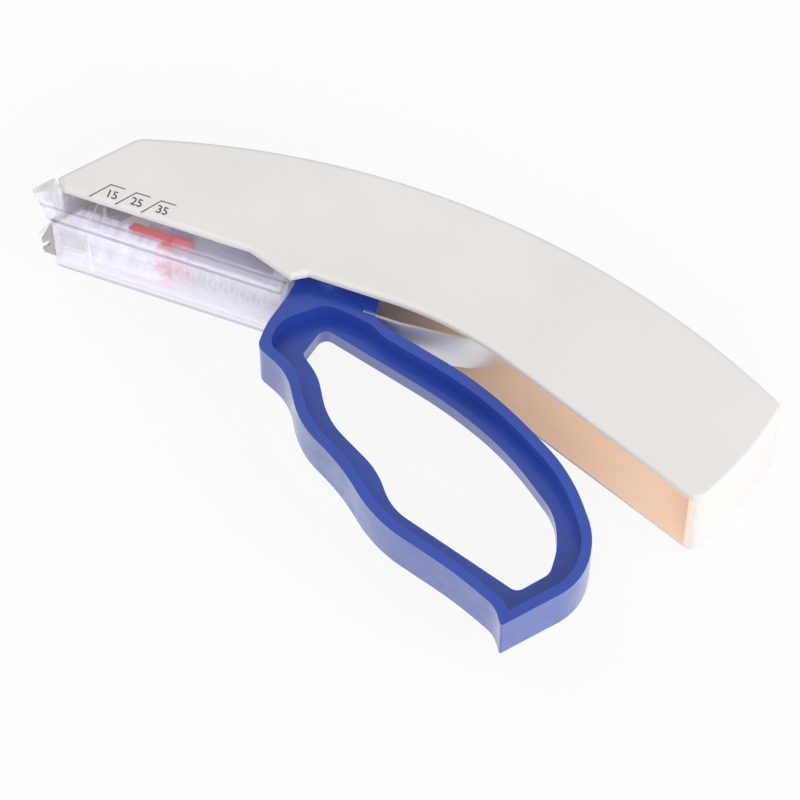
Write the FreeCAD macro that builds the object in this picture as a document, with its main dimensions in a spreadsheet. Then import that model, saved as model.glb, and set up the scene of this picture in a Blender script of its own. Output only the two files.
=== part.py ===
"""Disposable skin stapler, lying on its side.

X runs from the nose to the tail, Y towards the arched back and Z up through the thickness of the
body. The origin is under the middle of the whole, on the face that it lies on. All sizes are in
millimetres and degrees, and every one is a named cell of the sheet.
"""
import FreeCAD, Part
import math
import os
import Sketcher
from FreeCAD import Vector

os.makedirs("parts", exist_ok=True)
doc = FreeCAD.newDocument("skin_stapler")
sheet = doc.addObject("Spreadsheet::Sheet", "Sizes")

SIZES = {
    # white body: two shells that meet on the middle plane
    "body_thick": 25.0,
    "wall": 1.8,
    "tail_wall": 2.4,
    "edge_round": 1.0,
    "brow_round": 5.0,
    "tail_round": 2.6,
    "slope_x": -74.4,
    "slope_y": 18.6,
    "slope_angle": 49.5,
    "back_x": -7.0,
    "back_top": 41.2,
    "back_radius": 183.0,
    "chin_x": -72.2,
    "edge_y": 16.4,
    "notch_x": -32.2,
    "flap_x": -22.2,
    "flap_y": 13.2,
    "arch_x": -19.0,
    "arch_y": 15.2,
    "belly_x": -2.0,
    "belly_radius": 78.4,
    "ramp_x": 25.0,
    "tail_low_x": 70.2,
    "tail_x": 79.4,
    "tail_radius": 70.0,
    "post_radius": 2.4,
    "peg_radius": 1.3,
    "peg_fit": 0.06,
    "stop_x": -31.0,
    "stop_width": 1.6,
    "stop_gap": 0.25,
    # trigger lever and its pivot
    "pivot_x": -16.0,
    "pivot_y": 20.0,
    "pivot_radius": 2.0,
    "pivot_fit": 0.06,
    "seat_fit": 0.02,
    "boss_radius": 3.1,
    "side_play": 0.35,
    "loop_length": 77.8,
    "trigger_thick": 14.0,
    "web_thick": 4.5,
    "rim_width": 2.1,
    "arm_thick": 6.0,
    "hub_radius": 4.6,
    "arm_boss_radius": 1.5,
    "arm_boss_width": 10.4,
    "arm_top_rise": 28.0,
    "squeeze_angle": 13.7,
    # staple track: local X runs up the track from the exit, local Y forwards
    "exit_x": -73.9,
    "exit_y": 8.9,
    "track_angle": 52.0,
    "track_play": 0.08,
    "driver_thick": 0.4,
    "driver_width": 12.4,
    "driver_gap": 0.3,
    "fork_width": 6.2,
    "fork_depth": 4.4,
    "ear_thick": 0.6,
    "ear_length": 8.3,
    "ear_margin": 0.45,
    "head_room": 4.0,
    "pin_back": 2.0,
    "pin_radius": 0.8,
    "pin_length": 13.0,
    "slot_low": 0.25,
    "slot_high": 0.08,
    "pin_fit": 0.02,
    "plate_thick": 0.6,
    "plate_low": -0.5,
    "plate_rise": 3.0,
    "plate_wide_top": 6.0,
    "plate_top": 13.5,
    "plate_tip_width": 5.0,
    "plate_notch": 2.4,
    # staples
    "crown_reach": 9.6,
    "crown_width": 12.5,
    "foot_reach": 5.2,
    "wire_wide": 0.55,
    "wire_thick": 0.42,
    "shoulder": 0.5,
    "staple_pitch": 0.56,
    "staple_count": 35.0,
    # anvil
    "anvil_width": 5.8,
    "anvil_top": 4.4,
    "anvil_thick": 0.8,
    "anvil_end_x": -66.0,
    "ejector_width": 3.0,
    "ejector_thick": 0.3,
    "ejector_gap": 0.02,
    "ejector_reach": 6.2,
    "ejector_rise_run": 0.3,
    # clear cartridge
    "clear_thick": 20.0,
    "clear_wall": 1.2,
    "clear_low_y": 10.0,
    "clear_rim": 0.6,
    "clear_floor": 1.0,
    "clear_top_y": 21.2,
    "clear_rear_x": -22.9,
    "ledge_y": 13.0,
    "ledge_depth": 0.4,
    "clear_split_x": -65.2,
    "rear_wall_y": 17.0,
    "beak_x": -79.0,
    "beak_y": 15.0,
    "beak_top_x": -75.3,
    "beak_top_y": 19.7,
    "heel_x": -72.6,
    "exit_width": 15.4,
    "nose_notch_radius": 11.0,
    "nose_notch_depth": 4.0,
    "joint_gap": 0.1,
    # magazine inside the cartridge
    "core_width": 10.8,
    "core_wall": 1.2,
    "core_gap": 0.08,
    "guide_wall": 0.8,
    "guide_gap": 0.45,
    "guide_top_y": 14.4,
    "flange_thick": 1.0,
    "slot_width": 2.2,
    "cover_front_x": -54.0,
    "cover_thick": 0.9,
    "cover_gap": 0.15,
    # follower and its spring
    "flag_front_x": -58.0,
    "flag_length": 8.2,
    "follower_rear_x": -44.5,
    "flag_low_y": 14.6,
    "flag_top_y": 16.3,
    "flag_thick": 1.2,
    "follower_play": 0.15,
    "bar_rise": 0.2,
    "coil_radius": 1.3,
    "coil_wire": 0.4,
    "coil_turns": 9.0,
    "stop_block_x": -26.4,
    # leaf that returns the trigger
    "leaf_width": 13.0,
    "leaf_thick": 0.5,
    "leaf_root_x": -7.0,
    "leaf_root_y": 13.4,
    "leaf_bend_x": 22.0,
    "leaf_bend_y": 15.2,
    "leaf_bend_radius": 30.0,
    "leaf_end_x": 38.0,
    "leaf_end_gap": 0.35,
    "leaf_slot_gap": 0.05,
}

for row, (name, value) in enumerate(SIZES.items(), start=1):
    sheet.set(f"A{row}", name)
    sheet.set(f"B{row}", str(value))
    sheet.setAlias(f"B{row}", name)
doc.recompute()

WORDS = sorted(SIZES, key=len, reverse=True)


def formula(text):
    """Turn a formula in plain size names into one that reads the sheet."""
    import re
    pattern = r"\b(" + "|".join(WORDS) + r")\b"
    return re.sub(pattern, r"Sizes.\1", str(text))


def number(text):
    """Value of a formula in millimetres or degrees."""
    value = sheet.evalExpression(formula(text))
    return float(getattr(value, "Value", value))


def bind(thing, path, text):
    """Tie one property of a thing to a formula."""
    thing.setExpression(path, formula(text))


def place(thing, x="0", y="0", z="0", turn=None):
    """Put a thing at a point, turned about Z."""
    bind(thing, "Placement.Base.x", x)
    bind(thing, "Placement.Base.y", y)
    bind(thing, "Placement.Base.z", z)
    if turn is not None:
        bind(thing, "Placement.Rotation.Axis.x", "0")
        bind(thing, "Placement.Rotation.Axis.y", "0")
        bind(thing, "Placement.Rotation.Axis.z", "1")
        bind(thing, "Placement.Rotation.Angle", turn)


def rounded(points, radii):
    """Corner points with radii as a list of line ends and arcs, for a sketch's first guess."""
    pieces = []
    count = len(points)
    for index in range(count):
        here = points[index]
        radius = radii[index]
        before = (points[index - 1] - here).normalize()
        after = (points[(index + 1) % count] - here).normalize()
        if radius <= 0:
            pieces.append((here, here, None, 0))
            continue
        half = before.getAngle(after) / 2
        reach = radius / math.tan(half)
        centre = here + (before + after).normalize() * (radius / math.sin(half))
        turn = before.cross(after).z
        pieces.append((here + before * reach, here + after * reach, centre, -turn))
    return pieces


def draw(sketch, corners):
    """Closed outline through corners of (x, y) or (x, y, radius), each tied to its formulas."""
    points = [Vector(number(corner[0]), number(corner[1]), 0) for corner in corners]
    radii = [number(corner[2]) if len(corner) > 2 else 0.0 for corner in corners]
    pieces = rounded(points, radii)
    count = len(corners)
    lines = []
    for index in range(count):
        start = pieces[index][1]
        end = pieces[(index + 1) % count][0]
        lines.append(sketch.addGeometry(Part.LineSegment(start, end)))
    for index in range(count):
        before = lines[index - 1]
        after = lines[index]
        first, last, centre, turn = pieces[index]
        if centre is None:
            sketch.addConstraint(Sketcher.Constraint("Coincident", before, 2, after, 1))
            tie_point(sketch, after, 1, corners[index])
            continue
        radius = radii[index]
        low = math.atan2(first.y - centre.y, first.x - centre.x)
        high = math.atan2(last.y - centre.y, last.x - centre.x)
        circle = Part.Circle(centre, Vector(0, 0, 1), radius)
        if turn < 0:
            low, high = high, low
        arc = sketch.addGeometry(Part.ArcOfCircle(circle, low, high))
        near, far = (1, 2) if turn > 0 else (2, 1)
        sketch.addConstraint(Sketcher.Constraint("Tangent", before, 2, arc, near))
        sketch.addConstraint(Sketcher.Constraint("Tangent", arc, far, after, 1))
        tie = sketch.addConstraint(Sketcher.Constraint("Radius", arc, radius))
        bind(sketch, f"Constraints[{tie}]", corners[index][2])
        mark = sketch.addGeometry(Part.Point(points[index]), True)
        sketch.addConstraint(Sketcher.Constraint("PointOnObject", mark, 1, before))
        sketch.addConstraint(Sketcher.Constraint("PointOnObject", mark, 1, after))
        tie_point(sketch, mark, 1, corners[index])
    return sketch


def tie_point(sketch, item, end, corner):
    """Fix one point of a sketch at its two formulas."""
    for kind, text in (("DistanceX", corner[0]), ("DistanceY", corner[1])):
        tie = sketch.addConstraint(Sketcher.Constraint(kind, -1, 1, item, end, number(text)))
        bind(sketch, f"Constraints[{tie}]", text)


def chain(sketch, corners, arcs):
    """Closed outline whose sides named in arcs are (radius, turn) arcs from corner to corner."""
    points = [Vector(number(corner[0]), number(corner[1]), 0) for corner in corners]
    count = len(points)
    ends = []
    for index in range(count):
        start = points[index]
        end = points[(index + 1) % count]
        if index not in arcs:
            item = sketch.addGeometry(Part.LineSegment(start, end))
            ends.append((item, 1, 2))
            continue
        radius = number(arcs[index][0])
        turn = arcs[index][1]
        half = (end - start) * 0.5
        side = Vector(-half.y, half.x, 0).normalize() * turn
        centre = start + half + side * math.sqrt(radius ** 2 - half.Length ** 2)
        low = math.atan2(start.y - centre.y, start.x - centre.x)
        high = math.atan2(end.y - centre.y, end.x - centre.x)
        circle = Part.Circle(centre, Vector(0, 0, 1), radius)
        if turn > 0:
            item = sketch.addGeometry(Part.ArcOfCircle(circle, low, high))
            ends.append((item, 1, 2))
        else:
            item = sketch.addGeometry(Part.ArcOfCircle(circle, high, low))
            ends.append((item, 2, 1))
        tie = sketch.addConstraint(Sketcher.Constraint("Radius", item, radius))
        bind(sketch, f"Constraints[{tie}]", arcs[index][0])
    for index in range(count):
        before = ends[index - 1]
        after = ends[index]
        joint = Sketcher.Constraint("Coincident", before[0], before[2], after[0], after[1])
        sketch.addConstraint(joint)
        tie_point(sketch, after[0], after[1], corners[index])
    return sketch


def new_body(name):
    return doc.addObject("PartDesign::Body", name)


def new_sketch(body, name, role="XY_Plane", lift="0"):
    """Sketch on one of the body's own planes, lifted along its normal."""
    plane = [item for item in body.Origin.OriginFeatures if item.Role == role][0]
    sketch = body.newObject("Sketcher::SketchObject", name)
    sketch.AttachmentSupport = [(plane, "")]
    sketch.MapMode = "FlatFace"
    bind(sketch, ".AttachmentOffset.Base.z", lift)
    return sketch


def pad(body, sketch, length, name, back=False, middle=False):
    feature = body.newObject("PartDesign::Pad", name)
    feature.Profile = sketch
    feature.Reversed = back
    feature.Midplane = middle
    bind(feature, "Length", length)
    doc.recompute()
    return feature


def pocket(body, sketch, length, name, back=False, middle=False):
    """Pocket that must take material away."""
    before = body.Shape.Volume
    feature = body.newObject("PartDesign::Pocket", name)
    feature.Profile = sketch
    feature.Reversed = back
    feature.Midplane = middle
    bind(feature, "Length", length)
    doc.recompute()
    if not feature.Shape.Volume < before - 0.001:
        raise RuntimeError(f"{name} takes nothing away")
    return feature


def fillet(body, edges, radius, name):
    base = body.Tip
    feature = body.newObject("PartDesign::Fillet", name)
    feature.Base = (base, edges)
    bind(feature, "Radius", radius)
    doc.recompute()
    return feature


def box(name, low, high):
    """Box between two corners of formulas."""
    thing = doc.addObject("Part::Box", name)
    place(thing, *low)
    for side, a, b in zip(("Length", "Width", "Height"), low, high):
        bind(thing, side, f"({b}) - ({a})")
    return thing


def rod(name, radius, x, y, low, high):
    """Cylinder along Z between two heights."""
    thing = doc.addObject("Part::Cylinder", name)
    place(thing, x, y, low)
    bind(thing, "Radius", radius)
    bind(thing, "Height", f"({high}) - ({low})")
    return thing


def prism(name, corners, low, high, arcs=None):
    """Outline in the XY plane, raised between two heights."""
    sketch = doc.addObject("Sketcher::SketchObject", name + "_outline")
    if arcs:
        chain(sketch, corners, arcs)
    else:
        draw(sketch, corners)
    bind(sketch, "Placement.Base.z", low)
    return raised(name, sketch, f"({high}) - ({low})")


def raised(name, outline, height):
    thing = doc.addObject("Part::Extrusion", name)
    thing.Base = outline
    thing.DirMode = "Custom"
    thing.Dir = Vector(0, 0, 1)
    thing.Solid = True
    bind(thing, "LengthFwd", height)
    return thing


def fuse(name, things):
    result = doc.addObject("Part::MultiFuse", name)
    result.Shapes = things
    result.Refine = True
    return result


def cut(name, base, tool):
    result = doc.addObject("Part::Cut", name)
    result.Base = base
    result.Tool = tool
    result.Refine = True
    return result


def in_track(reach, ahead):
    """Point of the XY plane at a distance up the staple track and ahead of the driver."""
    x = f"exit_x + ({reach}) * cos(track_angle) - ({ahead}) * sin(track_angle)"
    y = f"exit_y + ({reach}) * sin(track_angle) + ({ahead}) * cos(track_angle)"
    return x, y


def way_up(x, y, angle, radius):
    """Length of a rising line from (x, y) to a circle about the centre of the back."""
    across = f"((back_x - ({x})) * sin({angle}) - (back_top - back_radius - ({y})) * cos({angle}))"
    along = f"((back_x - ({x})) * cos({angle}) + (back_top - back_radius - ({y})) * sin({angle}))"
    return f"({along} + sqrt(({radius}) ^ 2 - {across} ^ 2))"


def meet(x, y, angle, radius):
    """Point where a rising line through (x, y) leaves a circle about the centre of the back."""
    reach = way_up(x, y, angle, radius)
    return f"({x}) + {reach} * cos({angle})", f"({y}) + {reach} * sin({angle})"


MIDDLE = "body_thick / 2"


def about_middle(width):
    """Two heights, half a width below and above the middle plane."""
    return f"{MIDDLE} - ({width}) / 2", f"{MIDDLE} + ({width}) / 2"


RAMP_RUN = "sqrt(belly_radius ^ 2 - (ramp_x - belly_x) ^ 2)"
RAMP_Y = f"(arch_y - belly_radius + {RAMP_RUN})"
TAIL_LOW_Y = f"({RAMP_Y} - (tail_low_x - ramp_x) * (ramp_x - belly_x) / {RAMP_RUN})"
TAIL_TOP_Y = "(back_top - back_radius + sqrt(back_radius ^ 2 - (tail_x - back_x) ^ 2))"
TAIL_ANGLE = f"atan(({TAIL_TOP_Y} - {TAIL_LOW_Y}) / (tail_x - tail_low_x))"
BROW = meet("slope_x", "slope_y", "slope_angle", "back_radius")
INNER_SLOPE_X = "slope_x + wall / sin(slope_angle)"
INNER_BACK = "back_radius - wall"
INNER_BROW = meet(INNER_SLOPE_X, "slope_y", "slope_angle", INNER_BACK)
INNER_TAIL = meet("tail_low_x - tail_wall", TAIL_LOW_Y, TAIL_ANGLE, INNER_BACK)


def ceiling_y(x):
    """Height of the inside of the back above a point of the X axis."""
    return f"(back_top - back_radius + sqrt(({INNER_BACK}) ^ 2 - (({x}) - back_x) ^ 2))"


def upright_edges(shape, spots):
    """Names of the edges along Z that stand nearest to the given points."""
    names = []
    for spot in spots:
        target = Vector(number(spot[0]), number(spot[1]), 0)
        best = None
        for index, edge in enumerate(shape.Edges, start=1):
            ends = [vertex.Point for vertex in edge.Vertexes]
            if len(ends) < 2 or abs(ends[0].z - ends[1].z) < 1:
                continue
            distance = Vector(ends[0].x - target.x, ends[0].y - target.y, 0).Length
            if best is None or distance < best[0]:
                best = (distance, index)
        names.append(f"Edge{best[1]}")
    return names


def rim_edges(shape, height):
    """Names of all the edges that lie in the plane at a height."""
    names = []
    for index, edge in enumerate(shape.Edges, start=1):
        bounds = edge.BoundBox
        if abs(bounds.ZMin - height) < 0.01 and abs(bounds.ZMax - height) < 0.01:
            names.append(f"Edge{index}")
    return names


POSTS = (("-40", 4.2), ("8", 4.2), ("58", 4.4))
TAIL_POST = ("68.5", "13.5")


def shell(name, lower):
    """One half of the body: side wall, front slope, arched back and tail, open underneath."""
    seam = MIDDLE
    outside = "0" if lower else "body_thick"
    lift = "0" if lower else seam
    body = new_body(name + "_casing")
    outline = new_sketch(body, name + "_outline", lift=lift)
    corners = [
        ("chin_x", "edge_y"),
        ("notch_x", "edge_y"),
        ("flap_x", "flap_y"),
        ("arch_x", "arch_y"),
        ("belly_x", "arch_y"),
        ("ramp_x", RAMP_Y),
        ("tail_low_x", TAIL_LOW_Y),
        ("tail_x", TAIL_TOP_Y),
        BROW,
        ("slope_x", "slope_y"),
    ]
    chain(outline, corners, {4: ("belly_radius", -1), 6: ("tail_radius", 1), 7: ("back_radius", 1)})
    pad(body, outline, MIDDLE, name + "_block")
    spots = upright_edges(body.Shape, [BROW, ("tail_x", TAIL_TOP_Y)])
    fillet(body, spots[:1], "brow_round", name + "_brow")
    spots = upright_edges(body.Shape, [("tail_x", TAIL_TOP_Y), ("tail_low_x", TAIL_LOW_Y)])
    fillet(body, spots, "tail_round", name + "_tail")
    fillet(body, rim_edges(body.Shape, number(outside)), "edge_round", name + "_rim")
    hollow = new_sketch(body, name + "_hollow_outline", lift="wall" if lower else seam)
    below = f"({TAIL_LOW_Y} - 5)"
    low_front = f"{INNER_SLOPE_X} - (slope_y - edge_y + 4) / tan(slope_angle)"
    low_tail = f"tail_low_x - tail_wall - 5 / tan({TAIL_ANGLE})"
    inner = [
        (low_front, "edge_y - 4"),
        (low_front, below),
        (low_tail, below),
        INNER_TAIL,
        INNER_BROW,
    ]
    chain(hollow, inner, {3: (INNER_BACK, 1)})
    pocket(body, hollow, f"{MIDDLE} - wall", name + "_hollow", back=True)
    return body


def shell_fittings(name, lower):
    """Pivot boss, posts, cartridge rail and lever stop inside one shell."""
    inside = "wall" if lower else f"{MIDDLE} + 0"
    outside = MIDDLE if lower else "body_thick - wall"
    hub_low, hub_high = about_middle("trigger_thick + 2 * side_play")
    clear_low, clear_high = about_middle("clear_thick + 0.1")
    added = []
    if lower:
        added.append(rod(name + "_boss", "boss_radius", "pivot_x", "pivot_y", "wall", hub_low))
    else:
        added.append(rod(name + "_boss", "boss_radius", "pivot_x", "pivot_y", hub_high, outside))
    for index, (x, drop) in enumerate(POSTS):
        y = f"{ceiling_y(x)} - {drop}"
        added.append(rod(f"{name}_post_{index}", "post_radius", x, y, inside, outside))
    added.append(rod(name + "_tail_post", "post_radius", *TAIL_POST, inside, outside))
    rail_low, rail_high = ("wall", clear_low) if lower else (clear_high, outside)
    added.append(box(name + "_rail", ("-60", "18.4", rail_low), ("-34", "20.2", rail_high)))
    arm_y = arm_top_y("stop_x + stop_width")
    added.append(
        box(
            name + "_stop",
            ("stop_x", f"{arm_y} + stop_gap", inside),
            ("stop_x + stop_width", f"{ceiling_y('stop_x')} + wall / 2", outside),
        )
    )
    return added


def make_shell(name, lower):
    """Casing with its fittings, its pivot seat and its pegs or peg holes."""
    casing = shell(name, lower)
    joined = fuse(name + "_joined", [casing] + shell_fittings(name, lower))
    holes = []
    pegs = []
    if lower:
        pin_end, open_end = "wall * 1.4", MIDDLE
    else:
        pin_end, open_end = MIDDLE, "body_thick - wall * 1.4"
    seat = "pivot_radius + seat_fit"
    holes.append(rod(name + "_pivot_seat", seat, "pivot_x", "pivot_y", pin_end, open_end))
    spots = [(x, f"{ceiling_y(x)} - {drop}") for x, drop in POSTS] + [TAIL_POST]
    for index, (x, y) in enumerate(spots):
        if lower:
            hole = "peg_radius + peg_fit"
            holes.append(rod(f"{name}_peg_hole_{index}", hole, x, y, f"{MIDDLE} - 5", MIDDLE))
        else:
            pegs.append(rod(f"{name}_peg_{index}", "peg_radius", x, y, f"{MIDDLE} - 4.6", MIDDLE))
    bored = cut(name + "_bored", joined, fuse(name + "_holes", holes) if len(holes) > 1 else holes[0])
    return fuse(name, [bored] + pegs) if pegs else bored


PIN_REACH = f"({way_up('exit_x', 'exit_y', 'track_angle', INNER_BACK)} - head_room)"
ARM_FRONT = in_track(PIN_REACH, "-pin_back")


def arm_top_y(x):
    """Top of the lever's arm above a point of the X axis, at rest."""
    rise = f"({ARM_FRONT[1]} + arm_boss_radius - arm_top_rise) / ({ARM_FRONT[0]} - pivot_x)"
    return f"(arm_top_rise + (({x}) - pivot_x) * {rise})"


def at_rest(x, y):
    """Where a point of the squeezed lever lies when the lever is at rest."""
    dx = f"(({x}) - pivot_x)"
    dy = f"(({y}) - pivot_y)"
    back_x = f"pivot_x + {dx} * cos(squeeze_angle) + {dy} * sin(squeeze_angle)"
    back_y = f"pivot_y - {dx} * sin(squeeze_angle) + {dy} * cos(squeeze_angle)"
    return back_x, back_y


BAR_TOP = "(exit_y + crown_reach * sin(track_angle) + bar_rise)"
COVER_TOP = f"({BAR_TOP} + cover_gap + cover_thick)"

# Outlines of the lever at rest, as steps from the pivot for a loop of the length drawn. A corner
# without a radius is rounded as far as its sides allow.
DRAWN_LENGTH = "77.8"
LOOP = [
    ("-5.4", "-1.2", "1.5"),
    ("-6.4", "-9.4"),
    ("-8.1", "-15.5"),
    ("-8.0", "-21.2", "2.4"),
    ("-0.2", "-24.6"),
    ("5.6", "-34.3"),
    ("16.4", "-39.8"),
    ("26.9", "-48.9"),
    ("45.7", "-54.3"),
    ("55.5", "-58.4"),
    ("57.9", "-61.9", "0.4"),
    ("69.7", "-48.0"),
    ("69.3", "-38.0"),
    ("59.9", "-25.9"),
    ("39.0", "-14.1"),
    ("15.5", "-8.5"),
    ("11.8", "-6.8", "0.8"),
    ("11.2", "-1.2", "1"),
]
GROOVE_TOP = [
    ("12.0", "-8.8"),
    ("5.1", "-7.7"),
    ("1.9", "-7.8"),
    ("0.5", "-8.5"),
    ("-4.6", "-13.0"),
]
GRIP = [
    ("0.3", "-17.6", "1"),
    ("4.9", "-21.0"),
    ("9.9", "-29.5"),
    ("23.4", "-36.7"),
    ("28.4", "-43.4"),
    ("57.9", "-52.1", "2.2"),
    ("62.7", "-46.2", "3"),
    ("62.4", "-40.5"),
    ("59.5", "-33.8"),
    ("46.1", "-24.0"),
    ("31.6", "-17.9"),
    ("2.1", "-10.5", "2.2"),
]


def about_pivot(steps):
    """Corners of the lever from their steps, in proportion to the length of the loop."""
    unit = f"loop_length / {DRAWN_LENGTH}"
    corners = []
    for step in steps:
        x = f"pivot_x + ({step[0]}) * {unit}"
        y = f"pivot_y + ({step[1]}) * {unit}"
        corners.append((x, y) + step[2:])
    return corners


def inset(corners, width):
    """Corners of an outline moved inwards by a width, where the outline runs anticlockwise."""
    points = [Vector(number(corner[0]), number(corner[1]), 0) for corner in corners]
    moved = []
    for index, corner in enumerate(corners):
        before = (points[index] - points[index - 1]).normalize()
        after = (points[(index + 1) % len(points)] - points[index]).normalize()
        side = Vector(-before.y - after.y, before.x + after.x, 0)
        shift = side * (1 / (1 + before.dot(after)))
        x = f"{corner[0]} + ({width}) * ({shift.x:.5f})"
        y = f"{corner[1]} + ({width}) * ({shift.y:.5f})"
        moved.append((x, y))
    return moved


def smooth(corners):
    """Outline with the largest radius that the sides allow at each corner that has none."""
    points = [Vector(number(corner[0]), number(corner[1]), 0) for corner in corners]
    result = []
    for index, corner in enumerate(corners):
        before = points[index - 1] - points[index]
        after = points[(index + 1) % len(points)] - points[index]
        reach = 0.48 * min(before.Length, after.Length)
        radius = reach * math.tan(before.getAngle(after) / 2)
        result.append(corner if len(corner) > 2 else corner + (f"{radius:.4f}",))
    return result


def trigger_lever():
    """Lever with a grooved loop for the fingers, a plate with the hub, and an arm in front."""
    low, high = about_middle("trigger_thick")
    web_low, web_high = about_middle("web_thick")
    arm_low, arm_high = about_middle("arm_thick")
    boss_low, boss_high = about_middle("arm_boss_width")
    outside = about_pivot(LOOP)
    block = prism("loop_block", smooth(outside), low, high)
    groove = smooth(inset(outside, "rim_width")[2:-2] + about_pivot(GROOVE_TOP))
    lower_groove = prism("loop_lower_groove", groove, f"{low} - 1", web_low)
    upper_groove = prism("loop_upper_groove", groove, web_high, f"{high} + 1")
    loop = cut("loop_web", block, fuse("loop_grooves", [lower_groove, upper_groove]))
    front = ARM_FRONT
    heel = at_rest("clear_rear_x - 3", f"{COVER_TOP} + 0.4")
    belly = at_rest("cover_front_x", f"{COVER_TOP} + 0.4")
    arm = prism(
        "lever_arm",
        [
            ("pivot_x - 5.2", "pivot_y - 6"),
            ("pivot_x + 10.6", "pivot_y - 6"),
            ("pivot_x + 10.6", "pivot_y - 1.4", "3"),
            ("pivot_x + 5", arm_top_y("pivot_x + 5"), "4"),
            (f"{front[0]}", f"{front[1]} + arm_boss_radius"),
            (f"{front[0]}", f"{front[1]} - arm_boss_radius + 0.2"),
            belly,
            heel,
            ("pivot_x - 5.2", heel[1], "1"),
        ],
        arm_low,
        arm_high,
    )
    hub = rod("lever_hub", "hub_radius", "pivot_x", "pivot_y", low, high)
    boss = rod("lever_boss", "arm_boss_radius", *front, boss_low, boss_high)
    joined = fuse("lever_joined", [loop, arm, hub, boss])
    grip = prism("grip_opening", smooth(about_pivot(GRIP)), low, high)
    bore = rod("lever_bore", "pivot_radius + pivot_fit", "pivot_x", "pivot_y", low, high)
    pin_hole = rod("lever_pin_hole", "pin_radius + pin_fit", *front, boss_low, boss_high)
    slot = box(
        "leaf_slot",
        ("leaf_root_x - 0.1", "leaf_root_y - leaf_slot_gap", low),
        ("0", "leaf_root_y + leaf_thick + leaf_slot_gap", high),
    )
    return cut("trigger", joined, fuse("lever_holes", [grip, bore, pin_hole, slot]))


def pivot_pin():
    """Steel pin that both shells hold and the lever turns on."""
    return rod("pivot", "pivot_radius", "pivot_x", "pivot_y", "wall * 1.4 + 0.1",
               "body_thick - wall * 1.4 - 0.1")


def lever_pin():
    """Cross pin at the end of the arm, which runs in the ears of the driver."""
    low, high = about_middle("pin_length")
    return rod("cross_pin", "pin_radius", *ARM_FRONT, low, high)


DRIVER_LOW = "(crown_reach + driver_gap)"
DRIVER_TOP = f"({PIN_REACH} + pin_radius + slot_high + ear_margin + 0.5)"


def driver_blade():
    """Forked steel plate that slides down the track, with two slotted ears folded back."""
    body = new_body("driver")
    low, high = about_middle("driver_width")
    fork_low, fork_high = about_middle("fork_width")
    outline = new_sketch(body, "driver_outline", "XZ_Plane")
    draw(
        outline,
        [
            (DRIVER_LOW, low),
            (DRIVER_TOP, low, "0.8"),
            (DRIVER_TOP, high, "0.8"),
            (DRIVER_LOW, high),
            (DRIVER_LOW, fork_high),
            (f"{DRIVER_LOW} + fork_depth", fork_high, "0.6"),
            (f"{DRIVER_LOW} + fork_depth", fork_low, "0.6"),
            (DRIVER_LOW, fork_low),
        ],
    )
    pad(body, outline, "driver_thick", "driver_plate", middle=True)
    slot_base = f"{PIN_REACH} - pin_radius - slot_low"
    slot_top = f"{PIN_REACH} + pin_radius + slot_high"
    ear_low = f"{slot_base} - ear_margin"
    for side, edge in (("right", low), ("left", f"{high} - ear_thick")):
        ear = new_sketch(body, f"{side}_ear_outline", "XY_Plane", edge)
        draw(
            ear,
            [
                (ear_low, "-ear_length", "0.4"),
                (f"{DRIVER_TOP} - 0.8", "-ear_length", "0.8"),
                (f"{DRIVER_TOP} - 0.8", "0"),
                (ear_low, "0"),
            ],
        )
        pad(body, ear, "ear_thick", f"{side}_ear")
    slot = new_sketch(body, "pin_slot_outline", "XY_Plane", low)
    draw(
        slot,
        [
            (slot_base, "-ear_length - 1"),
            (slot_top, "-ear_length - 1"),
            (slot_top, "-(pin_back - pin_radius - 0.2)"),
            (slot_base, "-(pin_back - pin_radius - 0.2)"),
        ],
    )
    pocket(body, slot, "driver_width", "pin_slot", back=True)
    place(body, "exit_x", "exit_y", "0", "track_angle")
    return body


def nose_plate():
    """Steel plate in front of the driver, whose pointed lower end closes the staple's exit."""
    body = new_body("guide_plate")
    wide_low, wide_high = about_middle("exit_width - 2 * joint_gap")
    low, high = about_middle("driver_width")
    tip_low, tip_high = about_middle("plate_tip_width")
    notch_low, notch_high = about_middle("plate_notch")
    outline = new_sketch(body, "guide_outline", "XZ_Plane", "-(driver_thick / 2 + track_play)")
    draw(
        outline,
        [
            ("plate_low", tip_low, "0.6"),
            ("plate_low + plate_rise", wide_low, "0.5"),
            ("plate_wide_top", wide_low, "0.4"),
            ("plate_wide_top", low, "0.4"),
            ("plate_top", low, "0.8"),
            ("plate_top", high, "0.8"),
            ("plate_wide_top", high, "0.4"),
            ("plate_wide_top", wide_high, "0.4"),
            ("plate_low + plate_rise", wide_high, "0.5"),
            ("plate_low", tip_high, "0.6"),
            ("plate_low", notch_high),
            ("plate_low + 1.6", notch_high, "0.8"),
            ("plate_low + 1.6", notch_low, "0.8"),
            ("plate_low", notch_low),
        ],
    )
    pad(body, outline, "plate_thick", "guide_sheet", back=True)
    place(body, "exit_x", "exit_y", "0", "track_angle")
    return body


def anvil():
    """Steel strip along the floor, whose end under the track is what the staple closes round."""
    floor = "clear_low_y + clear_rim + clear_floor + joint_gap"
    top = f"{floor} + anvil_thick * 0.9"
    tip = "driver_thick / 2"
    tip_top = in_track("anvil_top", tip)
    tip_low = in_track("anvil_top - anvil_thick", tip)
    slide = "cos(track_angle)"
    bend_low = f"{tip_low[0]} + ({tip_low[1]} - ({floor})) * sin(track_angle) / {slide}"
    bend_top = f"{tip_top[0]} + ({tip_top[1]} - ({top})) * sin(track_angle) / {slide}"
    low, high = about_middle("anvil_width")
    corners = [
        tip_low,
        (bend_low, floor),
        ("anvil_end_x", floor),
        ("anvil_end_x", top),
        (bend_top, top),
        tip_top,
    ]
    return prism("anvil_strip", corners, low, high)


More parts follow.
